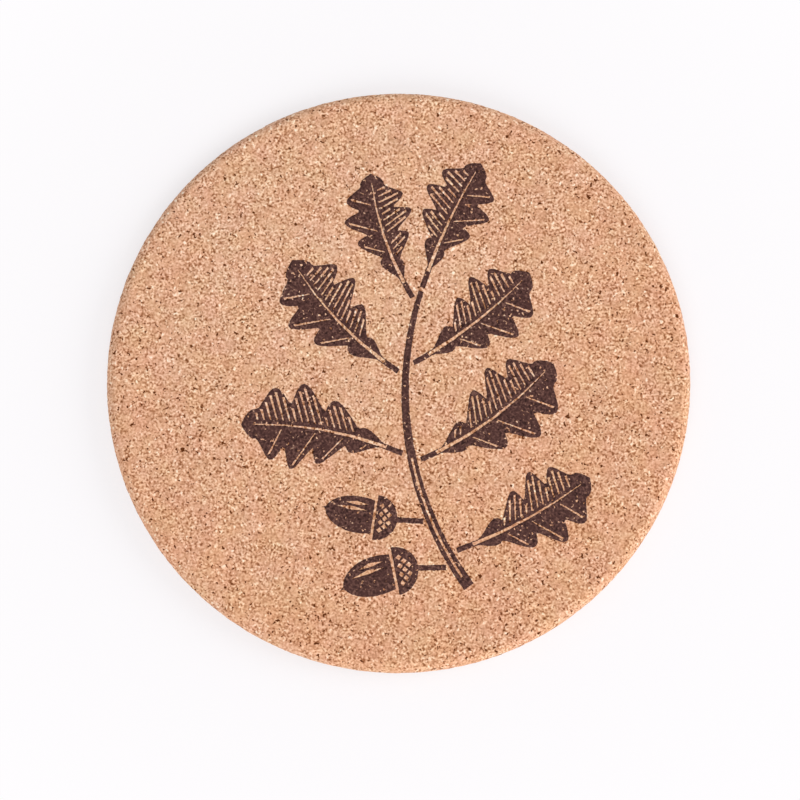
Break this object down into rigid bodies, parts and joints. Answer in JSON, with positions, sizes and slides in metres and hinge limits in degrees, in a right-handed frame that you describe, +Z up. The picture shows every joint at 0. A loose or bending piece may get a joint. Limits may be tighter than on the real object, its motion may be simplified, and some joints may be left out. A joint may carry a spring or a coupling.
{
  "type": "cork coaster",
  "caption": "Round flat coaster of fine pressed cork with rounded rims and a dark brown oak sprig printed on its top face.",
  "frame": {"origin": "middle of the underside, which rests on the table", "axes": "+Z up through the thickness, +Y to the top of the print, +X to its right"},
  "size_m": [0.1, 0.1, 0.0051],
  "materials": {
    "cork": "matt, sanded, fine granules",
    "ink": "matt printed film"
  },
  "bodies": {
    "root": {"cork_disc": "cork", "ink_stem": "ink", "ink_leaf_right_low": "ink", "ink_leaf_left_low": "ink", "ink_leaf_right_middle": "ink", "ink_leaf_left_middle": "ink", "ink_leaf_right_high": "ink", "ink_leaf_left_high": "ink", "ink_leaf_tip": "ink", "ink_acorn_low_cap": "ink", "ink_acorn_low_nut": "ink", "ink_acorn_high_cap": "ink", "ink_acorn_high_nut": "ink"}
  },
  "joints": []
}
